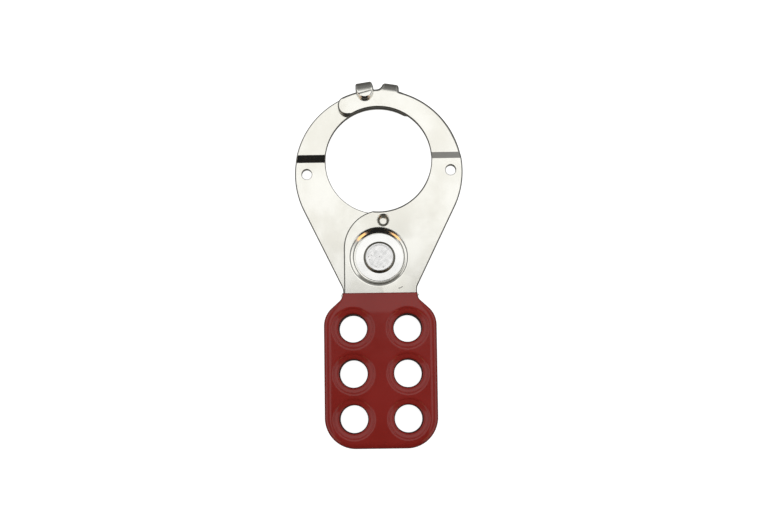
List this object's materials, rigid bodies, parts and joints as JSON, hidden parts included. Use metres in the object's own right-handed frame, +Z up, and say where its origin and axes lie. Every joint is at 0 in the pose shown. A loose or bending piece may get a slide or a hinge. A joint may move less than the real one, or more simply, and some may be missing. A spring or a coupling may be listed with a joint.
{
  "type": "lockout hasp",
  "caption": "Safety lockout hasp: two riveted steel halves whose jaws hook together, with red vinyl-dipped handles pierced by rows of padlock holes.",
  "frame": {"origin": "middle of the closed hasp's outline, on the surface that it lies on; the rivet's axis is 1.6 mm towards the jaws", "axes": "+Y along the hasp from the handles to the jaws; +Z up through the plates to the front half, the one whose jaw is on the +X side"},
  "size_m": [0.0602, 0.132, 0.0084],
  "materials": {
    "plated_steel": "satin",
    "rivet_steel": "satin",
    "red_vinyl": "glossy"
  },
  "bodies": {
    "back_half": {"back_plate": "plated_steel", "back_coating": "red_vinyl", "back_washer": "rivet_steel", "rivet": "rivet_steel", "front_washer": "rivet_steel"},
    "front_half": {"front_plate": "plated_steel", "front_coating": "red_vinyl"}
  },
  "joints": [
    {"name": "pivot", "type": "hinge", "parent": "back_half", "child": "front_half", "pos_m": [0, 0.00164, 0.0042], "axis": [0, 0, -1], "range_deg": [0, 120]}
  ]
}
